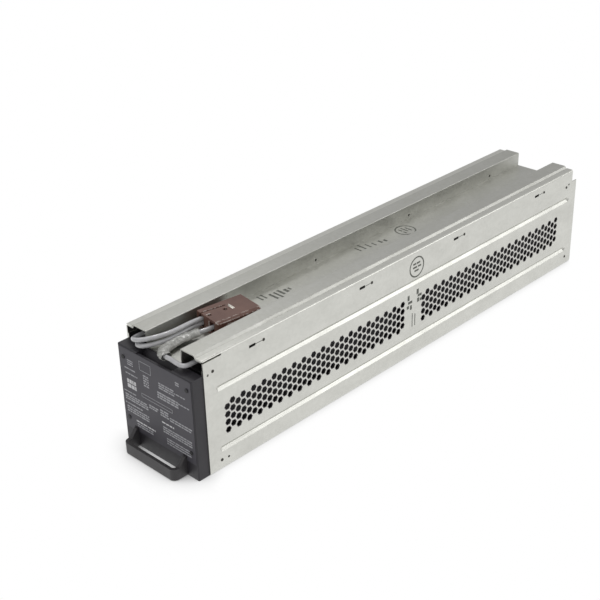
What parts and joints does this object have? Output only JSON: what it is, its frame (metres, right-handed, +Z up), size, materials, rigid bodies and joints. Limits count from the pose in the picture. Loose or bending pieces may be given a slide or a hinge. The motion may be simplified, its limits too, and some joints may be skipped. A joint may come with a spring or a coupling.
{
  "type": "ups battery cartridge",
  "caption": "Long folded steel tray of sealed batteries with two lid rails, vented side, moulded front cap, strap handle and a connector on short leads.",
  "frame": {"origin": "centre of the steel case's underside, half way between the cap's face and the rear end", "axes": "+Z up, +Y along the case from the front cap to the rear end, +X to the vented side wall"},
  "size_m": [0.1066, 0.6208, 0.1244],
  "materials": {
    "battery_case": "matte",
    "cap_plastic": "matte",
    "connector_brown": "satin",
    "contact_silver": "satin",
    "foam": "matte",
    "galvanised_steel": "satin",
    "handle_nylon": "matte",
    "insulator": "matte",
    "jumper_wire": "satin",
    "label_vinyl": "matte",
    "lead_jacket": "satin",
    "lead_sleeve": "gloss",
    "pin_black": "satin",
    "receptacle": "satin",
    "rivet_steel": "satin",
    "screw_steel": "satin",
    "spring_steel": "satin",
    "terminal_tin": "satin"
  },
  "bodies": {
    "root": {"battery_1": "battery_case", "battery_1_tabs": "terminal_tin", "battery_2": "battery_case", "battery_2_tabs": "terminal_tin", "battery_3": "battery_case", "battery_3_tabs": "terminal_tin", "battery_4": "battery_case", "battery_4_tabs": "terminal_tin", "battery_5": "battery_case", "battery_5_tabs": "terminal_tin", "battery_6": "battery_case", "battery_6_tabs": "terminal_tin", "battery_7": "battery_case", "battery_7_tabs": "terminal_tin", "battery_8": "battery_case", "battery_8_tabs": "terminal_tin", "cap_pins": "pin_black", "connector_housing": "connector_brown", "connector_spring": "spring_steel", "contact_left": "contact_silver", "contact_right": "contact_silver", "floor_pad": "insulator", "front_cap": "cap_plastic", "front_foam": "foam", "front_rivets": "rivet_steel", "handle_screws": "screw_steel", "jumper_1": "jumper_wire", "jumper_2": "jumper_wire", "jumper_3": "jumper_wire", "jumper_4": "jumper_wire", "jumper_5": "jumper_wire", "jumper_6": "jumper_wire", "jumper_7": "jumper_wire", "jumper_receptacles": "receptacle", "label_plate": "label_vinyl", "lead_receptacles": "receptacle", "left_lead_lower": "lead_jacket", "left_lead_upper": "lead_jacket", "left_run_lower": "lead_jacket", "left_run_upper": "lead_jacket", "lid": "galvanised_steel", "lid_rivets": "rivet_steel", "pull_handle": "handle_nylon", "rear_foam": "foam", "rear_plate": "galvanised_steel", "rear_rivets": "rivet_steel", "return_run": "lead_jacket", "right_lead": "lead_jacket", "right_lead_sleeve": "lead_sleeve", "side_foam": "foam", "top_foam": "foam", "tray": "galvanised_steel"}
  },
  "joints": []
}
